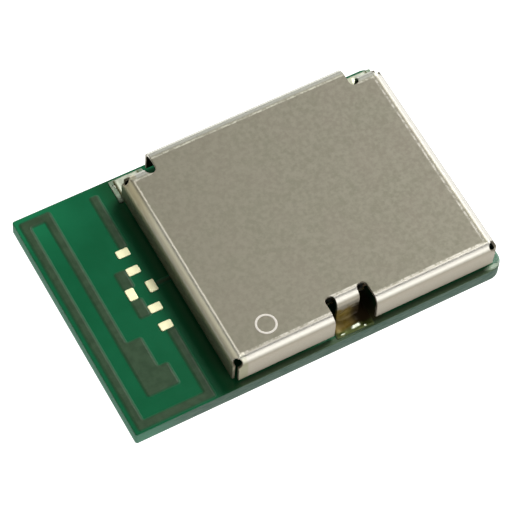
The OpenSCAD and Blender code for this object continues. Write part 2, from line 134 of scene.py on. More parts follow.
def make_piece(name, points, quads, rounds=(), normals=None, marks=None):
    """One mesh object from points in millimetres, quads, flat many-sided faces and values per point."""
    first, where, faces = joined(points, quads)
    faces += [where[r].tolist() for r in rounds]
    mesh = bpy.data.meshes.new(name)
    mesh.from_pydata((points[first] * MM).tolist(), [], faces)
    mesh.shade_smooth()
    for key, values in (marks or {}).items():
        layer = mesh.attributes.new(key, "FLOAT", "POINT")
        layer.data.foreach_set("value", np.asarray(values, np.float32)[first])
    if normals is not None:
        total = np.zeros((len(first), 3))
        np.add.at(total, where, normals)
        mesh.normals_split_custom_set_from_vertices(unit(total).tolist())
    mesh.update()
    return new_object(name, mesh)


def grid_quads(rows, columns, closed=False):
    """Quads of a grid of points, row after row; closed joins the last column to the first."""
    index = np.arange(rows * columns).reshape(rows, columns)
    if closed:
        index = np.concatenate([index, index[:, :1]], axis=1)
    corners = [index[:-1, :-1], index[:-1, 1:], index[1:, 1:], index[1:, :-1]]
    return np.stack(corners, axis=-1).reshape(-1, 4)


def stacked(sheets, grids):
    """Several sheets' points in one list, and their quads with the point numbers moved on to match."""
    starts = np.cumsum([0] + [len(sheet) for sheet in sheets[:-1]])
    return np.concatenate(sheets), np.concatenate([quads + start for quads, start in zip(grids, starts)])


def facing(points, quads, normals):
    """Turns a grid's quads round where their middle one faces against its normal."""
    centre = quads[len(quads) // 2]
    across = np.cross(points[centre[2]] - points[centre[0]], points[centre[3]] - points[centre[1]])
    return quads if across @ normals[centre].mean(axis=0) > 0 else quads[:, ::-1]


def ramp(value, low, high):
    """Share of the way from low to high, held at 0 and 1 outside."""
    return np.clip((value - low) / (high - low), 0, 1)


def finish_piece(piece, material, node):
    """Gives a piece its material and slot, and lets it stand for its CAD node."""
    piece.data.materials.append(material)
    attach(piece, "root")
    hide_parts(node)


# Flat pieces: board, strips, pads and lands


def outline(corners, radii, steps):
    """Closed anticlockwise outline with rounded square corners: points and outward normals. A corner's point
    is the arc's centre less the radius times cos t along the next side and sin t along the last one."""
    p = np.asarray(corners, float)
    r = np.broadcast_to(np.asarray(radii, float), len(p))[:, None, None]
    back = unit(np.roll(p, 1, axis=0) - p)[:, None]
    ahead = unit(np.roll(p, -1, axis=0) - p)[:, None]
    bulge = np.sign(back[..., 1] * ahead[..., 0] - back[..., 0] * ahead[..., 1])[..., None]
    t = np.linspace(0, math.pi / 2, steps + 1)[None, :, None]
    ray = -(np.cos(t) * ahead + np.sin(t) * back)
    points = p[:, None] + r * (back + ahead) + r * ray
    return points.reshape(-1, 2), (bulge * ray).reshape(-1, 2)


def rectangle(x0, y0, x1, y1):
    return [(x0, y0), (x1, y0), (x1, y1), (x0, y1)]


def rectangle_at(x, y, half_x, half_y):
    """Corners of an upright rectangle from its middle and half sizes."""
    return rectangle(x - half_x, y - half_y, x + half_x, y + half_y)


def box_rectangle(node):
    """Corners of a CAD node's box, seen from above."""
    x, y, _ = box_mm(node)
    return rectangle(x[0], y[0], x[1], y[1])


def plates(name, shapes, profile, radii, steps=5, downward=False):
    """Flat pieces with soft edges: a profile of (offset, height, mark) rows carried round each outline, with
    flat caps. The mark is kept per point for the material."""
    rows = np.asarray(profile, float)
    way = -1 if downward else 1
    sheets, grids, rounds = [], [], []
    for corners in shapes:
        line, out = outline(corners, radii, steps)
        n = len(line)
        ring = line[None] + out[None] * rows[:, 0, None, None]
        height = np.broadcast_to(rows[:, 1, None, None], (len(rows), n, 1))
        low = sum(len(sheet) for sheet in sheets) + np.arange(n)
        high = low + (len(rows) - 1) * n
        rounds += [low[::-way], high[::way]]
        sheets.append(np.concatenate([ring, height], axis=2).reshape(-1, 3))
        grids.append(grid_quads(len(rows), n, closed=True)[:, ::way])
    points, quads = stacked(sheets, grids)
    marks = np.concatenate([np.repeat(rows[:, 2], len(sheet) // len(rows)) for sheet in sheets])
    return make_piece(name, points, quads, rounds, marks={"edge": marks})


# Folded can

# Distances from a fold at which the plate has its closest rows and columns
NEAR_FOLD = np.array([0, SHEET_EDGE, 0.06, 0.09, 0.12, 0.16, 0.22])
# Columns left of the slots, between them and right of them
FRONT_COLUMNS = (17, 13, 19)
REAR_COLUMNS = (7, 35, 7)
PLATE_ROWS = 37
EAR_ROWS = 13
TAB_ROWS = 4
# Rows down a flap's end: along a corner's diagonal, round its relief hole, below that, and down the wall
DIAGONAL_ROWS = 4
HOLE_ROWS = 16
BELOW_HOLE_ROWS = 2
WALL_ROWS = 5
END_ROWS = DIAGONAL_ROWS + HOLE_ROWS + BELOW_HOLE_ROWS + WALL_ROWS
# Rows round a slot's end, and along the ear beside it
SLOT_ROWS = 9
EAR_SIDE_ROWS = 9
TRIAL_STEPS = 501
# Lean of the rim's rows in degrees, with two rows at the middle, one of each face
RIM_LEANS = np.radians([90, 67, 45, 22, 0, -0.001, -22, -45, -67, -90])
# Left, right, front and rear: the way out, and how far the press line lies inside the fold line
WAYS_OUT = [(-1, 0), (1, 0), (0, -1), (0, 1)]
PRESS_IN = np.array([0.0, 0.06, 0.0, 0.05])
PRESS_DEPTH = 0.004
PRESS_HALF = 0.03


def folded(a, s, w, place):
    """Point and outer normal of the folded sheet. a runs along the fold line, s across it on the outer face,
    and w up from the inner face: flat below s = 0, then a quarter turn about the bend's axis, then down."""
    origin, along, outward = place
    turn = np.clip(s / BEND_OUT, 0, math.pi / 2)
    reach = np.minimum(s, 0) + (BEND_IN + w) * np.sin(turn)
    height = CAN_TOP - BEND_OUT + (BEND_IN + w) * np.cos(turn) - np.maximum(s - BEND_S, 0)
    flat = np.asarray(origin) + a[..., None] * np.asarray(along) + reach[..., None] * np.asarray(outward)
    normal = np.sin(turn)[..., None] * np.asarray(outward)
    return (np.concatenate([flat, height[..., None]], axis=-1),
            np.concatenate([normal, np.cos(turn)[..., None]], axis=-1))


def on_bend(q):
    """Distance along the outer face for a distance q straight out from the fold line."""
    return np.where(q < 0, q, BEND_OUT * np.arcsin(np.clip(q / BEND_OUT, 0, 1)))


def corner_end(flat, low, inset, w):
    """End of a flap at a corner: along the fold corner's diagonal, round the relief hole, then down.
    Returns s, how far the end reaches past the fold corner, and the row where its free edge starts."""
    rho = RELIEF_R + inset
    trial = np.linspace(0, CORNER_REACH, TRIAL_STEPS)
    meet = trial[np.argmax(np.hypot(on_bend(trial) - RELIEF_S, trial - CORNER_REACH) < rho)]
    q1 = np.linspace(0, meet, DIAGONAL_ROWS)
    turn = math.atan2(CORNER_REACH - meet, RELIEF_S - on_bend(meet))
    psi = np.linspace(turn, math.pi - math.asin(inset / rho), HOLE_ROWS + 1)[1:]
    s2 = RELIEF_S - rho * np.cos(psi)
    s3 = np.concatenate([np.linspace(s2[-1], BEND_S, BELOW_HOLE_ROWS + 1)[1:],
                         np.linspace(BEND_S, low - inset, WALL_ROWS + 1)[1:]])
    thinner = 1 - (BEND_IN + w) / BEND_OUT
    e1 = q1 * (1 - thinner)
    e2 = CORNER_REACH - rho * np.sin(psi) - thinner * meet * np.linspace(1, 0, HOLE_ROWS + 1)[1:]
    e3 = np.full(len(s3), CORNER_REACH - inset)
    s = np.concatenate([flat, on_bend(q1), s2, s3])
    return s, np.concatenate([np.zeros(len(flat)), e1, e2, e3]), len(flat) + DIAGONAL_ROWS - 1


def slot_end(count, low, inset, first):
    """End of a flap at a slot: a quarter of the slot's round end, then straight down to the lower edge.
    first is the distance from the flap's fold line to the tabs' fold line."""
    rho = SLOT_R + inset
    theta = np.linspace(0, math.pi / 2, SLOT_ROWS)
    s1 = on_bend(first + SLOT_R - rho * np.cos(theta))
    between = count - SLOT_ROWS - WALL_ROWS
    if first < 0:
        flat = np.linspace(s1[-1], 0, EAR_SIDE_ROWS + 1)[1:]
        bend = np.linspace(0, BEND_S, between - EAR_SIDE_ROWS + 1)[1:]
        s2 = np.concatenate([flat, bend])
    else:
        s2 = np.linspace(s1[-1], BEND_S, between + 1)[1:]
    s3 = np.linspace(BEND_S, low - inset, WALL_ROWS + 1)[1:]
    s = np.concatenate([s1, s2, s3])
    e = -np.concatenate([rho * np.sin(theta), np.full(len(s2) + len(s3), rho)])
    return s, e, 0


def flap_ends(flap, inset, w):
    """Both ends of a flap: points (a, s) down to the lower edge, and the row where the free edge starts."""
    low = BEND_S + CAN_TOP - BEND_OUT - flap["bottom"]
    flat = flap["flat"](inset)
    ends = []
    for (kind, at), sign in zip(flap["ends"], (-1, 1)):
        if kind == "corner":
            s, e, free = corner_end(flat, low, inset, w)
        else:
            s, e, free = slot_end(len(flat) + END_ROWS, low, inset, flap["first"])
        ends.append((at + sign * e, s, free))
    return ends


def flap_face(flap, w):
    """Outer or inner face of a flap: rows of points ruled from one end to the other."""
    (a0, s0, _), (a1, s1, _) = flap_ends(flap, SHEET_EDGE, w)
    t = flap["columns"][None]
    a = a0[:, None] * (1 - t) + a1[:, None] * t
    s = s0[:, None] * (1 - t) + s1[:, None] * t
    points, normals = folded(a, s, w, flap["place"])
    return points, normals, s


def flap_rim(flap):
    """Cut edge of a flap: a rounded profile carried down one end, along the lower edge and up the other end.
    A row that leans by an angle lies sin of it up the sheet's edge radius and cos of it out."""

    def path(inset, w):
        (a0, s0, f0), (a1, s1, f1) = flap_ends(flap, inset, w)
        t = flap["columns"][1:-1]
        a = np.concatenate([a0[f0:], a0[-1] * (1 - t) + a1[-1] * t, a1[f1:][::-1]])
        s = np.concatenate([s0[f0:], s0[-1] * (1 - t) + s1[-1] * t, s1[f1:][::-1]])
        return folded(a, s, w, flap["place"]) + (s,)

    edge = unit(path(0, SHEET / 2)[0] - path(SHEET_EDGE, SHEET / 2)[0])
    rows, normals, reach = [], [], []
    for lean in RIM_LEANS:
        w = SHEET_EDGE * (1 + math.sin(lean))
        if lean >= 0:
            w = SHEET - SHEET_EDGE * (1 - math.sin(lean))
        p, n, s = path(SHEET_EDGE * (1 - math.cos(lean)), w)
        rows.append(p)
        normals.append(math.cos(lean) * edge + math.sin(lean) * n)
        reach.append(s)
    return np.array(rows), np.array(normals), np.array(reach)


def can_columns():
    """Places of the plate's columns along its front and rear edges, closer together beside the folds."""
    left = FOLD_LEFT + NEAR_FOLD
    right = (FOLD_RIGHT - NEAR_FOLD)[::-1]

    def between(slots, columns):
        return [np.concatenate([left, np.linspace(left[-1], slots[0], columns[0])[1:]]),
                np.linspace(*slots, columns[1]),
                np.concatenate([np.linspace(slots[1], right[0], columns[2])[:-1], right])]

    return between(FRONT_SLOTS, FRONT_COLUMNS), between(REAR_SLOTS, REAR_COLUMNS)


def shares(places):
    """Places as shares of the way from the first to the last."""
    return (places - places[0]) / (places[-1] - places[0])


def can_flaps(front, rear, rows):
    """The nine flaps of the can with their fold lines, ends and lower edges."""
    ear = FOLD_WALL - FOLD_TAB
    near = NEAR_FOLD[:0:-1]

    def ear_rows(inset):
        return np.concatenate([np.linspace(-ear - inset, -near[0], EAR_ROWS)[:-1], -near])

    def tab_rows(inset):
        return np.linspace(-inset, 0, TAB_ROWS)[:-1]

    flaps = []

    def add(place, ends, columns, kind):
        flat, first, bottom = kind
        flaps.append({"place": place, "ends": ends, "columns": shares(columns), "flat": flat, "first": first,
                      "bottom": bottom, "press": PRESS_IN[WAYS_OUT.index(place[2])]})

    wall = (ear_rows, -ear, WALL_LOW)
    tab = (tab_rows, 0, COPPER_TOP)
    for way, slots, columns, kinds in ((-1, FRONT_SLOTS, front, (wall, tab, wall)),
                                       (1, REAR_SLOTS, rear, (tab, wall, tab))):
        ends = [("corner", FOLD_LEFT), *[("slot", x) for x in slots], ("corner", FOLD_RIGHT)]
        for i, kind in enumerate(kinds):
            fold = way * (FOLD_WALL if kind is wall else FOLD_TAB)
            add(((0, fold), (1, 0), (0, way)), ends[i:i + 2], columns[i], kind)
    side = np.concatenate([(-FOLD_WALL - np.append(ear_rows(SHEET_EDGE), 0))[::-1], rows[1:-1],
                           FOLD_TAB + np.append(tab_rows(SHEET_EDGE), 0)])
    side_wall = (lambda inset: np.zeros(0), 0, WALL_LOW)
    ends = [("corner", -FOLD_WALL), ("corner", FOLD_TAB)]
    for x, way in ((FOLD_LEFT, -1), (FOLD_RIGHT, 1)):
        add(((x, 0), (0, 1), (way, 0)), ends, side, side_wall)
    return flaps


def to_fold(x, y):
    """Distances from a point of the top plate to the left, right, front and rear fold lines."""
    front = np.where((x > FRONT_SLOTS[0]) & (x < FRONT_SLOTS[1]), FOLD_TAB, FOLD_WALL)
    rear = np.where((x > REAR_SLOTS[0]) & (x < REAR_SLOTS[1]), FOLD_WALL, FOLD_TAB)
    return np.stack([x - FOLD_LEFT, FOLD_RIGHT - x, y + front, rear - y])


def press_line(x, y):
    """Shallow line that the press leaves beside each fold: a bell-shaped groove across the distance to the
    fold line, between half and full depth along it. Returns the drop and its slopes along X and Y."""
    d = to_fold(x, y) - PRESS_IN[:, None]
    run = np.stack([y, y, x, x])
    depth = PRESS_DEPTH * (0.75 + 0.25 * np.sin(2.3 * run + 1.1) * np.sin(0.9 * run + 0.4))
    bell = depth * np.exp(-(d / PRESS_HALF) ** 2)
    slope = -2 * d / PRESS_HALF ** 2 * bell
    return bell.sum(axis=0), slope[0] - slope[1], slope[2] - slope[3]


def past_lines(flap, p, s):
    """How far points of a flap lie past the fold line and past the press line, the left and
    right folds counted too, since an ear reaches over them."""
    past = -to_fold(p[..., 0], p[..., 1])[:2]
    past_press = past + PRESS_IN[:2, None, None]
    return np.maximum(s, past.max(axis=0)), np.maximum(s + flap["press"], past_press.max(axis=0))


def can_sheet():
    """The shielding can as one closed sheet: a plate and nine flaps, each with an outer and an inner face,
    and the rounded cut edge that joins the two faces all round."""
    front, rear = can_columns()
    x_front = np.concatenate([front[0], front[1][1:], front[2][1:]])
    x_rear = np.concatenate([rear[0], rear[1][1:], rear[2][1:]])
    near = NEAR_FOLD[1:]
    far = near[-1]
    y_rows = np.concatenate([near - FOLD_TAB, np.linspace(far - FOLD_TAB, FOLD_TAB - far, PLATE_ROWS)[1:-1],
                             (FOLD_TAB - near)[::-1]])
    t = shares(y_rows)[:, None]
    plate_x = x_front * (1 - t) + x_rear * t
    plate_y = np.broadcast_to(y_rows[:, None], plate_x.shape)
    flaps = can_flaps(front, rear, y_rows)
    patches = []

    def add(p, n, reach, press, rim, inner):
        flat_p = p.reshape(-1, 3)
        flat_n = n.reshape(-1, 3)
        quads = facing(flat_p, grid_quads(*p.shape[:2]), flat_n)
        marks = [np.broadcast_to(mark, p.shape[:2]).reshape(-1) for mark in (reach, press, rim, inner)]
        patches.append((flat_p, quads, flat_n, np.stack(marks)))

    for w, sign, inner in ((SHEET, 1, 0.0), (0, -1, 1.0)):
        height = np.full(plate_x.shape, CAN_TOP - SHEET + w)
        up = np.zeros(plate_x.shape + (3,))
        up[..., 2] = sign
        to_folds = to_fold(plate_x, plate_y)
        to_line = (to_folds - PRESS_IN[:, None, None]).min(axis=0)
        plate = np.stack([plate_x, plate_y, height], axis=-1)
        add(plate, up, -to_folds.min(axis=0), -to_line, 0.0, inner)
        for flap in flaps:
            p, n, s = flap_face(flap, w)
            add(p, sign * n, *past_lines(flap, p, s), 0.0, inner)
    for flap in flaps:
        p, n, s = flap_rim(flap)
        add(p, n, *past_lines(flap, p, s), 1.0, 0.0)
    sheets, grids, normals, marks = zip(*patches)
    points, quads = stacked(sheets, grids)
    normals = np.concatenate(normals)
    marks = dict(zip(("reach", "press", "rim", "inner"), np.concatenate(marks, axis=1)))
    top = (points[:, 2] > CAN_TOP - 1e-6) & (normals[:, 2] > 0.999)
    drop, slope_x, slope_y = press_line(points[:, 0], points[:, 1])
    points[top, 2] -= drop[top]
    normals[top] = unit(np.stack([slope_x, slope_y, np.ones(len(drop))], axis=1)[top])
    return make_piece("can_sheet", points, quads, normals=normals, marks=marks)


# Solder and ring

# The fillet: short of the land's end, and wider at its foot
FILLET_TOE = 0.14
FILLET_FLARE = 0.22
FILLET_GRID = (41, 49)
# The pool: past the tab's sides, further with flux, behind the tab, short of the land's end
POOL_SIDE = 0.12
FLUX_SIDE = 0.14
POOL_BEHIND = 0.12
POOL_TOE = 0.04
POOL_HEIGHT = 0.040
POOL_GRID = (49, 61)
# Drops on the front tab's solder: offset along the tab, place across it, half width, half depth, height
DROPS = [(0.06, 4.69, 0.26, 0.075, 0.10), (0.40, 4.82, 0.08, 0.06, 0.06), (-0.52, 4.80, 0.13, 0.045, 0.055)]


def solder_fillet(x, width, side, height):
    """Hollow fillet from the tab's face out over the land, as an upper and a lower sheet. It is ruled
    between an angle of tab face and land (t below and above a half) and a hollow curve with
    out = depth t^2.6 and up = height (1 - t)^3.2, and closes on that angle at both sides and both ends."""
    u = np.linspace(-1, 1, FILLET_GRID[1])[None, :]
    t = np.linspace(0, 1, FILLET_GRID[0])[:, None]
    depth = (LAND_END - TAB_FACE - FILLET_TOE) * (1 - 0.10 * u ** 2)
    tall = height * (1 - 0.18 * u ** 2 + 0.05 * np.sin(3.1 * u + 0.7))
    half = width / 2 - 0.01 + FILLET_FLARE * ramp(t, 0.45, 0.95) ** 1.3
    fill = np.clip(1 - np.abs(u) ** 7, 0, 1) ** 0.6
    swell = 1 + 0.03 * np.sin(5 * u + 2 * t) * np.sin(math.pi * t)
    out_base = depth * ramp(t, 0.5, 1)
    up_base = tall * ramp(t, 0.5, 0)
    out_top = depth * t ** 2.6 * swell
    up_top = tall * (1 - t) ** 3.2 * swell
    sheets = []
    for share in (fill, np.zeros_like(fill)):
        out = out_base + (out_top - out_base) * share
        up = up_base + (up_top - up_base) * share
        sheet = np.stack([x + half * u + 0 * out, side * (TAB_FACE + out), COPPER_TOP + up], axis=-1)
        sheets.append(sheet.reshape(-1, 3))
    return sheets


def solder_pool(x, width, side, flux):
    """Low pool round the tab's foot, as an upper and a lower sheet: a cushion over a rectangle, with a steep
    toe all round, a height that swells and sinks along it, and bell-shaped drops where there is flux. Its
    marks are the film of flux, which a pool without drops has at its sides and at the tab, and the gleam of
    the drops' front slopes."""
    reach = width / 2 + POOL_SIDE + FLUX_SIDE * flux
    y0 = TAB_FACE - SHEET - POOL_BEHIND
    y1 = LAND_END - POOL_TOE
    across = np.sin(np.linspace(-1, 1, POOL_GRID[1]) * math.pi / 2)[None, :]
    along = np.sin(np.linspace(-1, 1, POOL_GRID[0]) * math.pi / 2)[:, None]
    side_toe = np.clip(1 - np.abs(across) ** 6, 0, 1) ** 0.5
    toe = side_toe * np.clip(1 - np.abs(along) ** 6, 0, 1) ** 0.5
    wave = POOL_HEIGHT + 0.014 * np.sin(4.2 * across + 0.6) + 0.008 * np.sin(9.5 * across - 1.4)
    bulge = (0.01 * np.sin(5.2 * across + 2.2) + flux * 0.035 * (across + 1)) * np.clip(along, 0, 1)
    pool_x = x + reach * across + 0 * along
    pool_out = (y0 + y1) / 2 + (y1 - y0) / 2 * along + bulge
    lengths = [np.exp(-((pool_x - x - dx) / wide) ** 4) for dx, _, wide, _, _ in DROPS]
    drops = sum(rise * run * np.exp(-((pool_out - out) / deep) ** 2)
                for run, (_, out, _, deep, rise) in zip(lengths, DROPS)) * toe
    foot = COPPER_TOP - (COPPER_TOP - BOARD_TOP) * ramp(pool_out, LAND_END - 0.03, LAND_END)
    sheets = [np.stack([pool_x, side * pool_out, foot + lift], axis=-1).reshape(-1, 3)
              for lift in (wave * toe + drops * flux, 0 * toe)]
    fall = -np.gradient(drops, axis=0) / np.maximum(np.gradient(pool_out, axis=0), 1e-6)
    gleam = flux * ramp(fall, 0.35, 0.55) * ramp(drops, 0.006, 0.026)
    gleam = gleam * ramp(np.max(lengths, axis=0), 0.7, 0.9)
    rim = np.maximum(1 - ramp(side_toe, 0.68, 0.92), ramp(pool_out, TAB_FACE + 0.16, TAB_FACE + 0.06))
    film = np.where(flux > 0, 1 - gleam, rim)
    return sheets, film.reshape(-1), gleam.reshape(-1)


def solder_on_tab(name, x, width, side, height, flux):
    """Solder at one tab: the fillet and the pool, each closed by its lower sheet."""
    fillet = solder_fillet(x, width, side, height)
    pool, film, gleam = solder_pool(x, width, side, flux)
    grids = [grid_quads(*grid)[:, ::way] for grid, way in ((FILLET_GRID, -side), (FILLET_GRID, side),
                                                           (POOL_GRID, side), (POOL_GRID, -side))]
    points, quads = stacked(fillet + pool, grids)
    on_fillet = np.ones(2 * len(fillet[0]))
    marks = {"flux": np.concatenate([flux * on_fillet, film, film]),
             "pool": np.concatenate([0 * on_fillet, np.ones(2 * len(film))]),
             "gleam": np.concatenate([0 * on_fillet, gleam, gleam])}
    return make_piece(name, points, quads, marks=marks)


RING_X, RING_Y, (_, RING_TOP) = box_mm("index_mark")
RING_LINE = 0.085
RING_STEPS = 96
# The ring's section: place across the line and height, as shares of its half width and thickness
RING_ACROSS = np.array([-1, -1, -0.9, -0.6, 0, 0.6, 0.9, 1, 1])
RING_UP = np.array([-0.2, 0.3, 0.75, 0.97, 1, 0.97, 0.75, 0.3, -0.2])


def index_ring():
    """Printed ring: a flat rounded profile carried round a circle."""
    x = middle(*RING_X)
    y = middle(*RING_Y)
    half = RING_LINE / 2
    r = (RING_X[1] - RING_X[0]) / 2 - half
    t = np.linspace(0, 2 * math.pi, RING_STEPS + 1)[:, None]
    out = r + RING_ACROSS * half
    up = RING_UP * (RING_TOP - CAN_TOP)
    points = np.stack([x + out * np.cos(t), y + out * np.sin(t), CAN_TOP + up + 0 * t], axis=-1)
    quads = grid_quads(RING_STEPS + 1, len(RING_UP), closed=True)
    return make_piece("index_ring", points.reshape(-1, 3), quads[:, ::-1])


# Materials

# Values between which most of a soft noise lies
NOISE_RANGE = (0.3, 0.7)
NOISE_CORE = (0.35, 0.65)
# Places along Y where the front's flux and painted shadow begin, and where the rear begins
FRONT_ZONE = (-3.0, -3.5)
REAR_ZONE = (-0.1, 0.1)
# Places along X between the front tab and the rear right tab
RIGHT_ZONE = (4.0, 5.0)


class Finish:
    """A material and the nodes that feed its shader."""

    def __init__(self, name, **sockets):
        self.material = bpy.data.materials.new(name)
        self.material.use_nodes = True
        self.tree = self.material.node_tree
        self.shader = self.tree.nodes["Principled BSDF"]
        self.place = self.node("ShaderNodeTexCoord").outputs["Object"]
        self.feed(**{k.replace("_", " "): v for k, v in sockets.items()})

    def node(self, kind, **settings):
        made = self.tree.nodes.new(kind)
        for key, value in settings.items():
            setattr(made, key, value)
        return made

    def put(self, socket, value):
        """Links a node's output to a socket, or sets the socket's number or colour."""
        if isinstance(value, bpy.types.NodeSocket):
            self.tree.links.new(value, socket)
        else:
            socket.default_value = value

    def feed(self, **sockets):
        for name, value in sockets.items():
            self.put(self.shader.inputs[name], value)

    def colour(self, value):
        self.feed(**{"Base Color": value})

    def noise(self, grain, detail=3.0, stretch=(1, 1, 1)):
        """Soft noise with spots about grain millimetres across, stretched by a factor along each axis."""
        scale = self.node("ShaderNodeMapping")
        self.put(scale.inputs["Vector"], self.place)
        scale.inputs["Scale"].default_value = tuple(1 / (grain * MM * s) for s in stretch)
        made = self.node("ShaderNodeTexNoise")
        self.put(made.inputs["Vector"], scale.outputs["Vector"])
        made.inputs["Scale"].default_value = 1.0
        made.inputs["Detail"].default_value = detail
        return made.outputs["Fac"]

    def spots(self, grain, detail=3.0, start=0.0, end=1.0, between=NOISE_RANGE):
        """Soft noise taken onto start to end."""
        return self.span(self.noise(grain, detail), *between, start, end)

    def axes(self):
        """The place's X, Y and Z in millimetres."""
        made = self.node("ShaderNodeSeparateXYZ")
        self.put(made.inputs[0], self.place)
        return [self.calc("DIVIDE", axis, MM) for axis in made.outputs]

    def mark(self, name):
        """Value that a piece keeps per point."""
        return self.node("ShaderNodeAttribute", attribute_name=name).outputs["Fac"]

    def span(self, value, low, high, start=0.0, end=1.0):
        """Takes low to high onto start to end, smoothly, and holds it outside."""
        made = self.node("ShaderNodeMapRange", interpolation_type="SMOOTHSTEP")
        self.put(made.inputs["Value"], value)
        for name, number in (("From Min", low), ("From Max", high), ("To Min", start), ("To Max", end)):
            made.inputs[name].default_value = number
        return made.outputs["Result"]

    def calc(self, kind, a, b):
        """Two values put together by an operation such as ADD."""
        made = self.node("ShaderNodeMath", operation=kind)
        self.put(made.inputs[0], a)
        self.put(made.inputs[1], b)
        return made.outputs[0]

    def product(self, *factors):
        total = factors[0]
        for factor in factors[1:]:
            total = self.calc("MULTIPLY", total, factor)
        return total

    def band(self, value, low, full_low, full_high, high):
        """Rises from 0 at low to 1 at full_low, and falls from 1 at full_high to 0 at high."""
        return self.product(self.span(value, low, full_low), self.span(value, high, full_high))

    def blend(self, share, a, b):
        """Colour that goes from a to b."""
        made = self.node("ShaderNodeMix", data_type="RGBA")
        self.put(made.inputs["Factor"], share)
        for socket, colour in zip([s for s in made.inputs if s.type == "RGBA"], (a, b)):
            self.put(socket, colour if isinstance(colour, bpy.types.NodeSocket) else (*colour, 1))
        return [s for s in made.outputs if s.type == "RGBA"][0]

    def bump(self, height, depth):
        """Small relief of depth micrometres."""
        made = self.node("ShaderNodeBump")
        made.inputs["Strength"].default_value = 1.0
        made.inputs["Distance"].default_value = depth * 1e-6
        self.put(made.inputs["Height"], height)
        self.feed(Normal=made.outputs["Normal"])


# Dark brown of the painted shadow beside the front tab
WALL_SHADOW_TONE = (0.045, 0.029, 0.012)


def flux_with_shadow(f, x):
    """Clear brown flux on the front tab: olive yellow at its left, and nearly black at its right, where the
    dark is painted shadow of the can's wall.
    """
    patch = f.spots(0.3, 2.0, between=NOISE_CORE)
    light = f.blend(patch, (0.225, 0.155, 0.022), (0.325, 0.240, 0.078))
    # Painted shadow: the flux darkens to nearly black towards the tab's right
    return f.blend(f.span(x, FRONT_TAB - 0.14, FRONT_TAB + 0.46), light, (0.035, 0.024, 0.010))


def flux_stain(f, x, y, z):
    """Share of flux on the front tab's face, from none under the fold to nearly full over its lower half."""
    uneven = f.spots(0.25, 2.0, -0.12, 0.12)
    low = f.span(f.calc("ADD", z, uneven), CAN_TOP - 0.45, CAN_TOP - 0.85, 0.0, 0.95)
    left, right = FRONT_SLOTS
    across = f.band(x, left, left + 0.18, right - 0.18, right)
    on_face = f.band(y, -TAB_FACE - 0.30, -TAB_FACE - 0.20, -TAB_FACE + 0.05, -TAB_FACE + 0.15)
    return f.product(low, across, on_face)


def painted_wall_shadow(f, x, y):
    """Share of painted shadow, a dark brown, in the front land's right-hand corner, where the can's wall
    shades it.
    """
    at_right = f.span(x, FRONT_TAB + 0.01, FRONT_TAB + 0.41)
    by_wall = f.span(y, -LAND_END + 0.12, -LAND_END + 0.40)
    return f.product(at_right, by_wall, f.span(y, *FRONT_ZONE))


GREEN = (0.005, 0.128, 0.048)
GREEN_LIGHT = (0.008, 0.158, 0.064)


def board_side(f, x):
    """Streaked grey-green laminate of the cut side, greener towards the antenna end."""
    streak = f.span(f.noise(0.35, 4.0, (1, 1, 0.12)), *NOISE_RANGE)
    side = f.blend(streak, (0.052, 0.104, 0.074), (0.110, 0.162, 0.128))
    by_end = f.span(x, BOARD_X[0] + 2.6, BOARD_X[0] + 0.3, 0.0, 0.9)
    return f.blend(by_end, side, (0.078, 0.216, 0.140))


def board_top(f, x, y, z):
    """Green mask with a painted sheen at the rear of the antenna end, greyer green along the front edge as
    painted shade, a darker strip beside the can as painted shadow, a pale spot at the front right corner as
    painted reflection, and brown flux beside the front tab, darkened as painted shade."""
    left, right = BOARD_X
    front, rear = BOARD_Y
    can = CAN_X[0]
    slot = FRONT_SLOTS[1]
    # Painted reflection: a lighter sheen at the rear of the antenna end
    sheen = f.product(f.span(x, left + 3.1, left + 0.5), f.span(y, rear - 2.4, rear - 0.2, 0.0, 0.7))
    # Painted shade: greyer green along the front edge, in the can's shadow
    front_shade = f.product(f.span(y, front + 0.30, front + 0.14), f.span(x, can - 0.37, can + 0.33))
    # Painted shadow: a darker strip beside the can's left wall
    strip = f.band(x, can - 1.07, can - 0.12, can + 0.13, can + 0.33)
    # Painted reflection: a pale spot at the front right corner
    along = f.calc("DIVIDE", f.calc("SUBTRACT", x, right - 0.5), 0.30)
    across = f.calc("DIVIDE", f.calc("SUBTRACT", y, front + 0.16), 0.085)
    from_spot = f.calc("ADD", f.calc("POWER", along, 2.0), f.calc("POWER", across, 2.0))
    spot = f.span(from_spot, 1.6, 0.2, 0.0, 0.9)
    # Flux beside the front tab, darkened as well as painted shade in the slot
    warm_patch = f.product(f.band(x, slot - 0.46, slot - 0.11, slot + 0.29, slot + 0.74),
                      f.span(y, front + 0.08, front + 0.30), f.span(y, *FRONT_ZONE, 0.0, 0.85))
    above = f.span(z, BOARD_TOP - 0.10, BOARD_TOP - 0.03)
    top = f.blend(f.product(f.spots(1.1), 0.6), GREEN, GREEN_LIGHT)
    for share, colour in ((sheen, (0.014, 0.24, 0.098)), (front_shade, (0.076, 0.132, 0.064)),
                          (f.product(strip, 0.75), (0.010, 0.080, 0.026)), (spot, (0.40, 0.54, 0.38)),
                          (warm_patch, (0.075, 0.048, 0.020))):
        top = f.blend(f.product(above, share), top, colour)
    return top


def mask_green():
    """Board: glossy green mask over a faint weave, with dull cut sides, and painted sheen, shade and shadow
    on its top.
    """
    f = Finish("mask_green", Specular_IOR_Level=0.34)
    x, y, z = f.axes()
    edge = f.mark("edge")
    f.colour(f.blend(edge, board_top(f, x, y, z), board_side(f, x)))
    f.feed(Roughness=f.calc("ADD", f.spots(0.05, 3.0, 0.16, 0.22), f.product(edge, 0.72)))
    f.bump(f.noise(0.16, 2.0, (1, 1, 4)), 0.5)
    return f.material


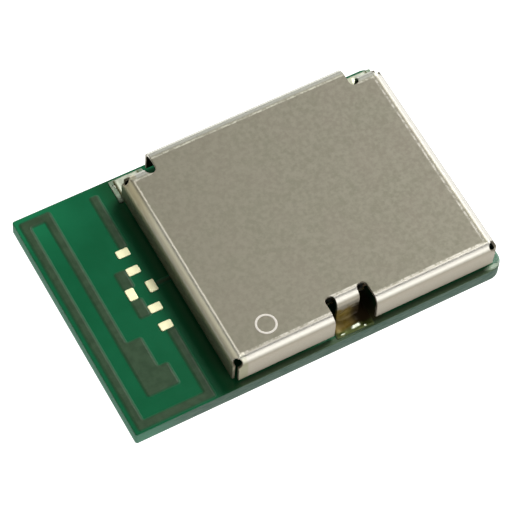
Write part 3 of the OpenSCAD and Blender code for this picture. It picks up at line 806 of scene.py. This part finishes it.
def masked_copper():
    """Strips under the mask: grey-green on top, the board's green at the foot, rougher on the slope."""
    f = Finish("masked_copper", Specular_IOR_Level=0.22)
    edge = f.mark("edge")
    top = f.blend(f.spots(0.28), (0.032, 0.072, 0.032), (0.047, 0.096, 0.046))
    f.colour(f.blend(edge, GREEN, top))
    slope = f.product(edge, f.calc("SUBTRACT", 1.0, edge))
    f.feed(Roughness=f.calc("ADD", f.spots(0.06, 3.0, 0.30, 0.36), f.product(slope, 1.3)))
    f.bump(f.noise(0.1), 0.15)
    return f.material


def gold_plating():
    """Bare pads and lands: pale satin gold."""
    f = Finish("gold_plating", Metallic=1.0)
    f.colour(f.blend(f.spots(0.22), (0.88, 0.845, 0.555), (0.93, 0.905, 0.61)))
    f.feed(Roughness=f.spots(0.04, 3.0, 0.50, 0.58))
    f.bump(f.noise(0.03), 0.3)
    return f.material


def plate_tone(f, x):
    """Matt rolled sheet with fine grain and soft clouds, a little lighter towards the left as painted
    shading.
    """
    tone = f.blend(f.spots(1.4, 4.0), (0.204, 0.194, 0.139), (0.219, 0.198, 0.149))
    tone = f.blend(f.spots(0.16, 5.0, 0.0, 0.9), tone, (0.262, 0.246, 0.187))
    # Painted shading: the plate lightens towards the left
    return f.blend(f.span(x, CAN_X[1], CAN_X[0], 0.0, 0.28), tone, (0.284, 0.267, 0.196))


def fold_highlights(f, reach, y, by_left, right, rear):
    """Burnished folds with painted highlights and shade that differ by side: bright at the front, olive at
    the left, greyer at the right and rear, and darker on the rear tabs.
    """
    olive = f.blend(f.span(reach, 0.08, 0.28), (0.97, 0.95, 0.785), (0.67, 0.655, 0.53))
    fold = f.blend(by_left, (0.80, 0.768, 0.684), olive)
    at_right = f.blend(f.span(reach, 0.10, 0.24), (0.56, 0.545, 0.50), (0.74, 0.72, 0.66))
    fold = f.blend(right, fold, at_right)
    at_rear = f.blend(f.span(reach, 0.0, 0.14), (0.50, 0.50, 0.43), (0.82, 0.82, 0.71))
    at_rear = f.blend(f.span(reach, 0.22, 0.36), at_rear, (0.40, 0.40, 0.37))
    fold = f.blend(rear, fold, at_rear)
    on_tab = f.product(rear, f.span(y, TAB_FACE + 0.15, TAB_FACE + 0.05), f.span(reach, 0.14, 0.28))
    return f.blend(on_tab, fold, (0.43, 0.43, 0.375))


def press_share(f, y, by_left):
    """Share of the broken bright line where the press took hold, narrower and less broken at the left; its
    light colour is partly a painted highlight.
    """
    press = f.product(f.mark("press"), f.calc("SUBTRACT", 1.0, f.product(by_left, 0.4)))
    line = f.band(press, -0.04, 0.0, 0.028, 0.07)
    flecks = f.spots(0.13, 3.0, 0.25, 1.0, (0.38, 0.58))
    stretches = f.spots(0.6, 2.0, 0.5, 1.0, (0.36, 0.60))
    whole = f.product(by_left, f.span(y, 2.8, 1.8, 0.0, 0.6))
    return f.product(line, f.calc("MAXIMUM", f.product(flecks, stretches), whole))


def nickel_silver():
    """The can: matt plate, a little lighter to the left as painted shading; walls a lighter tone than the
    plate and the left wall darker, as painted light; burnished folds with painted highlights and shade by
    side, and a broken bright line where the press took hold, partly a painted highlight; a warmer yellow
    patch on the left bend; duller cut edges; painted shade darkening the inside; and brown flux on the front
    tab, with painted shadow at its right."""
    f = Finish("nickel_silver")
    x, y, z = f.axes()
    reach = f.mark("reach")
    by_left = f.span(x, FOLD_LEFT + 0.2, FOLD_LEFT + 0.1)
    right = f.span(x, FOLD_RIGHT, FOLD_RIGHT + 0.06)
    rear = f.span(y, FOLD_TAB - 0.08, FOLD_TAB)
    early = f.calc("ADD", f.product(rear, 0.04), f.product(by_left, 0.07))
    bend = f.product(f.span(f.calc("ADD", reach, early), 0.02, 0.14), f.span(reach, 0.46, 0.28))
    # Painted light: the walls take a lighter tone than the plate of the same sheet, and the left wall a
    # darker one, darkest on its outer face
    wall = f.blend(by_left, (0.372, 0.340, 0.275), (0.305, 0.300, 0.205))
    wall = f.blend(f.span(x, CAN_X[0] + 0.11, CAN_X[0] + 0.01), wall, (0.25, 0.254, 0.168))
    tone = f.blend(f.span(reach, 0.30, 0.50), plate_tone(f, x), wall)
    tone = f.blend(f.product(bend, 0.95), tone, fold_highlights(f, reach, y, by_left, right, rear))
    # Press line: a lighter colour, partly painted highlight, that differs by side
    pressed = f.blend(by_left, (0.58, 0.555, 0.48), (0.68, 0.64, 0.53))
    pressed = f.blend(rear, pressed, (0.54, 0.53, 0.43))
    tone = f.blend(press_share(f, y, by_left), tone, pressed)
    # Warmer yellow patch on the left bend towards the rear
    warm_patch = f.product(by_left, f.band(reach, -0.02, 0.08, 0.35, 0.55), f.span(y, 1.4, 3.4, 0.0, 0.55))
    tone = f.blend(warm_patch, tone, (0.52, 0.455, 0.26))
    tone = f.blend(f.product(f.mark("rim"), 0.5), tone, (0.26, 0.23, 0.17))
    # Painted shade: the inside faces darkened nearly to black
    tone = f.blend(f.product(f.mark("inner"), 0.9), tone, (0.075, 0.060, 0.040))
    f.colour(f.blend(flux_stain(f, x, y, z), tone, flux_with_shadow(f, x)))
    f.feed(Metallic=f.span(reach, -0.06, 0.10, 0.5, 1.0))
    burnish = f.product(bend, f.calc("SUBTRACT", 0.22, f.product(right, 0.16)))
    f.feed(Roughness=f.calc("SUBTRACT", f.spots(0.07, 3.0, 0.51, 0.57), burnish))
    f.bump(f.noise(0.05), 0.3)
    return f.material


def solder_and_flux():
    """Smooth solder, under clear brown flux where the mark says so, with painted shadow turning the flux
    nearly black at the front tab's right. The flux is thin and olive over the pool, and the solder beside
    the rear right tab is paler and more metallic, a painted highlight."""
    f = Finish("solder_and_flux", Specular_IOR_Level=0.2)
    x, y, _ = f.axes()
    brown = flux_with_shadow(f, x)
    patch = f.spots(0.34, 2.0, between=NOISE_CORE)
    olive = f.blend(patch, (0.088, 0.118, 0.024), (0.155, 0.188, 0.056))
    olive = f.blend(f.span(y, -LAND_END + 0.10, -LAND_END + 0.32), olive, brown)
    olive = f.blend(f.span(y, *REAR_ZONE), olive, (0.125, 0.130, 0.060))
    covered = f.blend(f.mark("pool"), brown, olive)
    # Painted shadow of the can's wall in the front land's right-hand corner
    covered = f.blend(painted_wall_shadow(f, x, y), covered, WALL_SHADOW_TONE)
    slot = REAR_SLOTS[1]
    # Painted highlight: paler, more metallic solder beside the rear right tab
    painted_gleam = f.product(f.span(x, *RIGHT_ZONE), f.span(x, slot + 0.635, slot + 0.495, 0.0, 0.8))
    bare = f.blend(patch, (0.66, 0.71, 0.56), (0.73, 0.78, 0.63))
    bare = f.blend(painted_gleam, bare, (0.93, 0.94, 0.70))
    f.colour(f.blend(f.mark("flux"), bare, covered))
    gleam = f.mark("gleam")
    f.feed(Metallic=f.span(f.calc("MAXIMUM", gleam, painted_gleam), 0.0, 1.0, 0.2, 1.0))
    f.feed(Roughness=f.calc("SUBTRACT", f.spots(0.15, 3.0, 0.34, 0.44), f.product(gleam, 0.14)))
    f.bump(f.noise(0.16, 2.0), 1.5)
    return f.material


def fluxed_gold():
    """Land of a tab: pale tinned gold at the rear, a thin olive film of flux at the front, and painted
    shadow in the front land's right-hand corner beside the can's wall.
    """
    f = Finish("fluxed_gold", Metallic=0.2, Specular_IOR_Level=0.25)
    x, y, _ = f.axes()
    patch = f.spots(0.2, 2.0)
    film = f.blend(patch, (0.070, 0.105, 0.036), (0.135, 0.160, 0.060))
    # Painted shadow of the can's wall in the front land's right-hand corner
    film = f.blend(painted_wall_shadow(f, x, y), film, WALL_SHADOW_TONE)
    pale = f.blend(patch, (0.20, 0.28, 0.19), (0.34, 0.41, 0.30))
    f.colour(f.blend(f.span(y, *REAR_ZONE), film, pale))
    f.feed(Roughness=f.spots(0.05, 3.0, 0.32, 0.44))
    f.bump(f.noise(0.08), 0.6)
    return f.material


def plain_finish(name, dark, light, grain, rough, relief=1.5, **sockets):
    """Finish with two close tones in spots of a given grain, a little uneven in gloss and relief."""
    f = Finish(name, **sockets)
    f.colour(f.blend(f.spots(grain), dark, light))
    f.feed(Roughness=f.spots(grain * 0.4, 3.0, rough - 0.06, rough + 0.06))
    f.bump(f.noise(grain * 0.3), relief)
    return f.material


# Board, strips, pads and lands

# Edge profiles, the board's from its underside up and the rest from the board out: offset, height, mark
BOARD_UNDER = 0.012
BOARD_EDGE = [
    (-0.06, BOARD_UNDER, 0), (-0.04, BOARD_UNDER, 0), (-0.014, BOARD_UNDER + 0.004, 0),
    (-0.004, BOARD_UNDER + 0.014, 1), (0, BOARD_UNDER + 0.028, 1), (0, 0.33, 1),
    (0, BOARD_TOP - 0.038, 1), (-0.004, BOARD_TOP - 0.022, 1), (-0.012, BOARD_TOP - 0.010, 0),
    (-0.028, BOARD_TOP - 0.002, 0), (-0.05, BOARD_TOP, 0), (-0.07, BOARD_TOP, 0),
]
RIDGE_EDGE = [
    (0.06, BOARD_TOP - 0.010, 0), (0.06, BOARD_TOP - 0.0015, 0), (0.045, BOARD_TOP + 0.0015, 0.05),
    (0.022, BOARD_TOP + 0.008, 0.22), (0.0, BOARD_TOP + 0.017, 0.5), (-0.022, COPPER_TOP - 0.0085, 0.78),
    (-0.045, COPPER_TOP - 0.002, 0.95), (-0.065, COPPER_TOP, 1), (-0.08, COPPER_TOP, 1),
]
PAD_EDGE = [
    (0, BOARD_TOP - 0.010, 0), (0, COPPER_TOP - 0.017, 0), (-0.006, COPPER_TOP - 0.006, 0.4),
    (-0.016, COPPER_TOP - 0.0005, 0.8), (-0.03, COPPER_TOP, 1), (-0.045, COPPER_TOP, 1),
]
LAND_EDGE = [
    (0, 0.034, 0), (0, 0.008, 0), (-0.005, 0.003, 0.4), (-0.014, 0.0006, 0.8), (-0.03, 0, 1), (-0.05, 0, 1),
]
RIDGE_CORNER = 0.09
PAD_CORNER = 0.06

# Antenna: strip width, room between the strips, and the stepped patch at the folded strip's end
ANTENNA_X, ANTENNA_Y, _ = box_mm("antenna_trace")
STRIP = 0.32
STRIP_GAP = 0.6
PATCH_GAP = 0.75
PATCH_WIDE = 1.28
PATCH_STEP = 0.95
PATCH_NARROW = 0.9
PATCH_TALL = 2.3

# Tuning pads: half sizes of a pad, and the middle of the group
PADS_X, PADS_Y, _ = box_mm("tuning_pads")
PAD_LONG = 0.26
PAD_SHORT = 0.18
FEED_X = middle(*PADS_X)
FEED_Y = middle(*PADS_Y)
PAD_REACH = PADS_Y[1] - FEED_Y
PAIR_HALF = PADS_X[1] - FEED_X - PAD_SHORT
PAIR_FROM_FEED = PAD_REACH - PAD_SHORT - PAIR_HALF
PAIR_X = ANTENNA_X[1] - PAD_LONG

# Feed: half width, and its end under the can
FEED_HALF = 0.08
FEED_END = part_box("feed_trace")[1][0] / MM

# Underside: half sizes and pitches of the lands, and the end row's distance from the board's end
SIGNAL_SHORT = 0.3
SIGNAL_LONG = 0.45
SIGNAL_PITCH = 1.0
SIDE_LANDS = 10
END_LANDS = 6
END_ROW_IN = 0.6
GROUND_HALF = 0.8
GROUND_PITCH = 2.1


def antenna_outline():
    """Outline of the antenna strip: from the first pads along the front edge, up the antenna end, across and
    down again to the stepped patch."""
    x0, x1 = ANTENNA_X
    y0, y1 = ANTENNA_Y
    inner_x = x0 + STRIP
    fold_x = inner_x + STRIP_GAP
    return_x = x1 - STRIP
    return_y = FEED_Y - PAD_REACH
    inner_y = y0 + STRIP
    patch_y = inner_y + PATCH_GAP
    return [(x1, return_y), (return_x, return_y), (return_x, inner_y), (inner_x, inner_y),
            (inner_x, y1 - STRIP), (fold_x, y1 - STRIP), (fold_x, patch_y), (fold_x + PATCH_WIDE, patch_y),
            (fold_x + PATCH_WIDE, patch_y + PATCH_STEP), (fold_x + PATCH_NARROW, patch_y + PATCH_STEP),
            (fold_x + PATCH_NARROW, patch_y + PATCH_TALL), (fold_x + STRIP, patch_y + PATCH_TALL),
            (fold_x + STRIP, y1), (x0, y1), (x0, y0), (x1, y0)]


def link_outlines():
    """The two links between the feed pads and the outer pad pairs, behind and in front of the feed."""
    x, y, _ = box_mm("link_traces")
    return [rectangle(x[0], FEED_Y + PAD_LONG, x[1], y[1]), rectangle(x[0], y[0], x[1], FEED_Y - PAD_LONG)]


def pad_outlines():
    """Two pairs of pads, in front of the feed and behind it, and the feed's own pair."""
    near = PAIR_FROM_FEED - PAIR_HALF
    far = PAIR_FROM_FEED + PAIR_HALF
    pads = [rectangle_at(PAIR_X, FEED_Y + y, PAD_LONG, PAD_SHORT) for y in (-far, -near, near, far)]
    return pads + [rectangle_at(FEED_X + x, FEED_Y, PAD_SHORT, PAD_LONG) for x in (-PAIR_HALF, PAIR_HALF)]


def evenly(count, pitch):
    """So many places at a pitch, about zero."""
    return [(i - (count - 1) / 2) * pitch for i in range(count)]


def signal_outlines():
    """Rows of lands along both long edges under the can, and one row at the shielded end."""
    row_y = box_mm("signal_lands")[1][1] - SIGNAL_LONG
    end_x = BOARD_X[1] - END_ROW_IN
    lands = [rectangle_at(CAN_MID + x, side * row_y, SIGNAL_SHORT, SIGNAL_LONG)
             for x in evenly(SIDE_LANDS, SIGNAL_PITCH) for side in (-1, 1)]
    lands += [rectangle_at(end_x, y, SIGNAL_LONG, SIGNAL_SHORT) for y in evenly(END_LANDS, SIGNAL_PITCH)]
    return lands


def ground_outlines():
    """Grid of three by two square lands under the can's middle."""
    return [rectangle_at(CAN_MID + x, y, GROUND_HALF, GROUND_HALF)
            for x in evenly(3, GROUND_PITCH) for y in evenly(2, GROUND_PITCH)]


copper = masked_copper()
gold = gold_plating()
solder = solder_and_flux()
ink = plain_finish("white_ink", (0.90, 0.845, 0.755), (0.96, 0.91, 0.82), 0.05, 0.6)

board = plates("board", [box_rectangle("circuit_board")], BOARD_EDGE,
               radii=(SHARP_CORNER, ROUND_CORNER, ROUND_CORNER, SHARP_CORNER), steps=16)
finish_piece(board, mask_green(), "circuit_board")

strips = {
    "antenna_trace": [antenna_outline()],
    "ground_stub": [box_rectangle("ground_stub")],
    "link_traces": link_outlines(),
    "feed_trace": [rectangle(PADS_X[1], FEED_Y - FEED_HALF, FEED_END, FEED_Y + FEED_HALF)],
}
for node, shapes in strips.items():
    ridge = plates(node + "_ridge", shapes, RIDGE_EDGE, RIDGE_CORNER)
    finish_piece(ridge, copper, node)

pads = plates("gold_pads", pad_outlines(), PAD_EDGE, PAD_CORNER)
finish_piece(pads, gold, "tuning_pads")


# Tabs, underside, can and ring

# Node, middle, width, side, fillet height and share of flux of each tab's solder
TABS = [("front_tab_solder", FRONT_TAB, FRONT_TAB_W, -1, 0.50, 1.0),
        ("rear_left_tab_solder", REAR_LEFT_TAB, REAR_TAB_W, 1, 0.45, 0.0),
        ("rear_right_tab_solder", REAR_RIGHT_TAB, REAR_TAB_W, 1, 0.45, 0.0)]

land_y = middle(LAND_IN, LAND_END)
land_half = (LAND_END - LAND_IN) / 2
lands = [rectangle_at(x, side * land_y, width / 2 + LAND_SIDE, land_half)
         for _, x, width, side, _, _ in TABS]
tab_lands = plates("tab_land_plates", lands, PAD_EDGE, PAD_CORNER)
finish_piece(tab_lands, fluxed_gold(), "tab_lands")
for node, *shape in TABS:
    finish_piece(solder_on_tab(node + "_fillet", *shape), solder, node)
for kind, shapes in (("signal", signal_outlines()), ("ground", ground_outlines())):
    under = plates(kind + "_land_plates", shapes, LAND_EDGE, PAD_CORNER, downward=True)
    finish_piece(under, gold, kind + "_lands")
finish_piece(can_sheet(), nickel_silver(), "shield_can")
finish_piece(index_ring(), ink, "index_mark")


# Parts inside the can

tin = plain_finish("tin_plating", (0.62, 0.62, 0.60), (0.74, 0.74, 0.72), 0.12, 0.35, Metallic=1.0)
crystal_base = plain_finish("crystal_ceramic", (0.70, 0.66, 0.58), (0.80, 0.76, 0.69), 0.08, 0.6)
crystal_lid = plain_finish("crystal_lid", (0.80, 0.70, 0.44), (0.90, 0.81, 0.56), 0.2, 0.3, Metallic=1.0)
inside = {
    "component_lands": gold,
    "radio_chip": plain_finish("moulded_epoxy", (0.018, 0.018, 0.019), (0.034, 0.033, 0.033), 0.05, 0.6,
                               relief=3.0),
    "main_crystal_base": crystal_base,
    "main_crystal_lid": crystal_lid,
    "sleep_crystal_base": crystal_base,
    "sleep_crystal_lid": crystal_lid,
    "balun_filter": plain_finish("filter_ceramic", (0.80, 0.81, 0.83), (0.89, 0.90, 0.91), 0.08, 0.55),
    "supply_inductor": plain_finish("ferrite", (0.07, 0.07, 0.075), (0.12, 0.12, 0.125), 0.06, 0.6, 3.0),
    "matching_inductors": plain_finish("inductor_ceramic", (0.46, 0.54, 0.65), (0.58, 0.65, 0.74), 0.06,
                                       0.5),
    "capacitors": plain_finish("capacitor_ceramic", (0.42, 0.29, 0.17), (0.56, 0.42, 0.27), 0.06, 0.45),
    "resistors": plain_finish("resistor_glaze", (0.02, 0.02, 0.024), (0.05, 0.05, 0.056), 0.08, 0.3),
}
for node in ("chip_leads", "chip_heat_pad", "balun_terminals", "supply_inductor_ends",
             "matching_inductor_ends", "capacitor_ends", "resistor_ends"):
    inside[node] = tin
for node, material in inside.items():
    NODES[node].data.materials.clear()
    NODES[node].data.materials.append(material)


# Floor, light and camera

LIGHT_DISTANCE = 0.25


def placed(right, up, back, at):
    """Matrix of an object from its own X, Y and Z axes and its place."""
    return Matrix([[*row, shift] for row, shift in zip(zip(right, up, back), at)] + [[0, 0, 0, 1]])


def floor():
    """Plain pale floor under the board."""
    mesh = bpy.data.meshes.new("floor")
    mesh.from_pydata([(x, y, 0) for x, y in rectangle(-1, -1, 1, 1)], [], [(0, 1, 2, 3)])
    made = new_object("floor", mesh)
    f = Finish("pale_floor", Roughness=0.9)
    f.colour(f.blend(f.noise(20.0), (0.24, 0.24, 0.24), (0.26, 0.26, 0.26)))
    f.feed(**{"Emission Color": (1, 1, 1, 1), "Emission Strength": 1.25})
    made.data.materials.append(f.material)


def softbox(name, towards, wide, tall, radiance, tint=(1, 1, 1)):
    """Soft light that looks at the module from a direction, so many degrees wide and tall from there."""
    back = unit(np.asarray(towards, float))
    side = unit(np.cross((0, 0, 1), back))
    data = bpy.data.lights.new(name, "AREA")
    data.shape = "RECTANGLE"
    data.size = 2 * LIGHT_DISTANCE * math.tan(math.radians(wide / 2))
    data.size_y = 2 * LIGHT_DISTANCE * math.tan(math.radians(tall / 2))
    data.energy = radiance * math.pi * data.size * data.size_y
    data.color = tint
    made = new_object(name, data)
    made.matrix_world = placed(side, np.cross(back, side), back, back * LIGHT_DISTANCE)


def studio():
    """Faint cool light from all round, and plain colours in the picture."""
    world = bpy.data.worlds.new("studio")
    world.use_nodes = True
    background = world.node_tree.nodes["Background"]
    background.inputs["Color"].default_value = (0.93, 0.95, 1.0, 1)
    background.inputs["Strength"].default_value = 0.012
    bpy.context.scene.world = world
    bpy.context.scene.view_settings.view_transform = "Standard"


def camera():
    """Camera at the photograph's angle, from its position and axes in the part's frame."""
    data = bpy.data.cameras.new("camera")
    data.lens = 203.318
    data.sensor_width = 36.0
    data.clip_start = 0.001
    data.clip_end = 10.0
    right = (0.87678, -0.4791, 0.04146)
    up = (0.394885, 0.766494, 0.50651)
    back = (-0.274448, -0.427726, 0.861237)
    at = (-0.0295179, -0.0458006, 0.0921683)
    made = new_object("camera", data)
    made.matrix_world = placed(right, up, back, at)
    bpy.context.scene.camera = made


floor()
softbox("key_light", (0.57, 0.22, 0.79), 24, 22, 13.5)
softbox("front_light", (0.274, -0.74, 0.50), 24, 60, 1.75)
softbox("front_fill", (0.274, -0.97, 0.10), 50, 12, 0.75)
softbox("right_light", (0.80, 0.43, 0.32), 50, 40, 0.85)
softbox("rear_light", (0.2, 0.80, 0.50), 60, 44, 0.50)
softbox("left_light", (-0.58, 0.44, 0.62), 26, 70, 0.66, (1.0, 0.96, 0.85))
studio()
camera()
